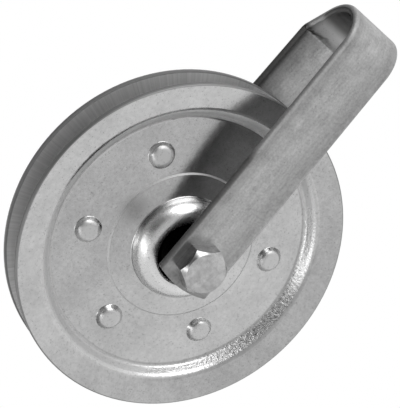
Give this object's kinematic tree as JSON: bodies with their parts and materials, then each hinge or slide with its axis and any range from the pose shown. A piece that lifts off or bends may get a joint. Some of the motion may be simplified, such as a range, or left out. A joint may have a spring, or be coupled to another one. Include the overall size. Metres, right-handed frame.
{
  "type": "garage door pulley",
  "caption": "Grooved pulley wheel of two pressed steel halves, turning on ball bearings in a bent strap fork and held by an axle bolt, for a garage door's lifting cable.",
  "frame": {"origin": "middle of the wheel's rim, on the axle line", "axes": "+Z from the axle to the fork's loop, +Y along the axle away from the bolt head, +X across the strap"},
  "size_m": [0.1016, 0.0447, 0.1357],
  "materials": {
    "sheave_steel": "galvanised pressed sheet, satin with a fine mottle",
    "strap_steel": "galvanised strap, satin with fine lengthwise streaks",
    "fastener_steel": "zinc plated, semi-bright",
    "bearing_steel": "greased bearing steel, dark"
  },
  "bodies": {
    "fork": {"fork_strap": "strap_steel", "axle_bolt": "fastener_steel", "axle_nut": "fastener_steel", "inner_race": "bearing_steel"},
    "wheel": {"front_sheave_half": "sheave_steel", "rear_sheave_half": "sheave_steel", "outer_race": "bearing_steel"},
    "ball_row": {"ball_01": "bearing_steel", "ball_02": "bearing_steel", "ball_03": "bearing_steel", "ball_04": "bearing_steel", "ball_05": "bearing_steel", "ball_06": "bearing_steel", "ball_07": "bearing_steel", "ball_08": "bearing_steel", "ball_09": "bearing_steel", "ball_10": "bearing_steel"}
  },
  "joints": [
    {"name": "wheel_spin", "type": "hinge", "parent": "fork", "child": "wheel", "pos_m": [0, 0, 0], "axis": [0, 1, 0], "continuous": true},
    {"name": "ball_orbit", "type": "hinge", "parent": "fork", "child": "ball_row", "pos_m": [0, 0, 0], "axis": [0, 1, 0], "continuous": true}
  ],
  "couplings": [
    {"joint": "ball_orbit", "follows": "wheel_spin", "ratio": 0.651}
  ]
}
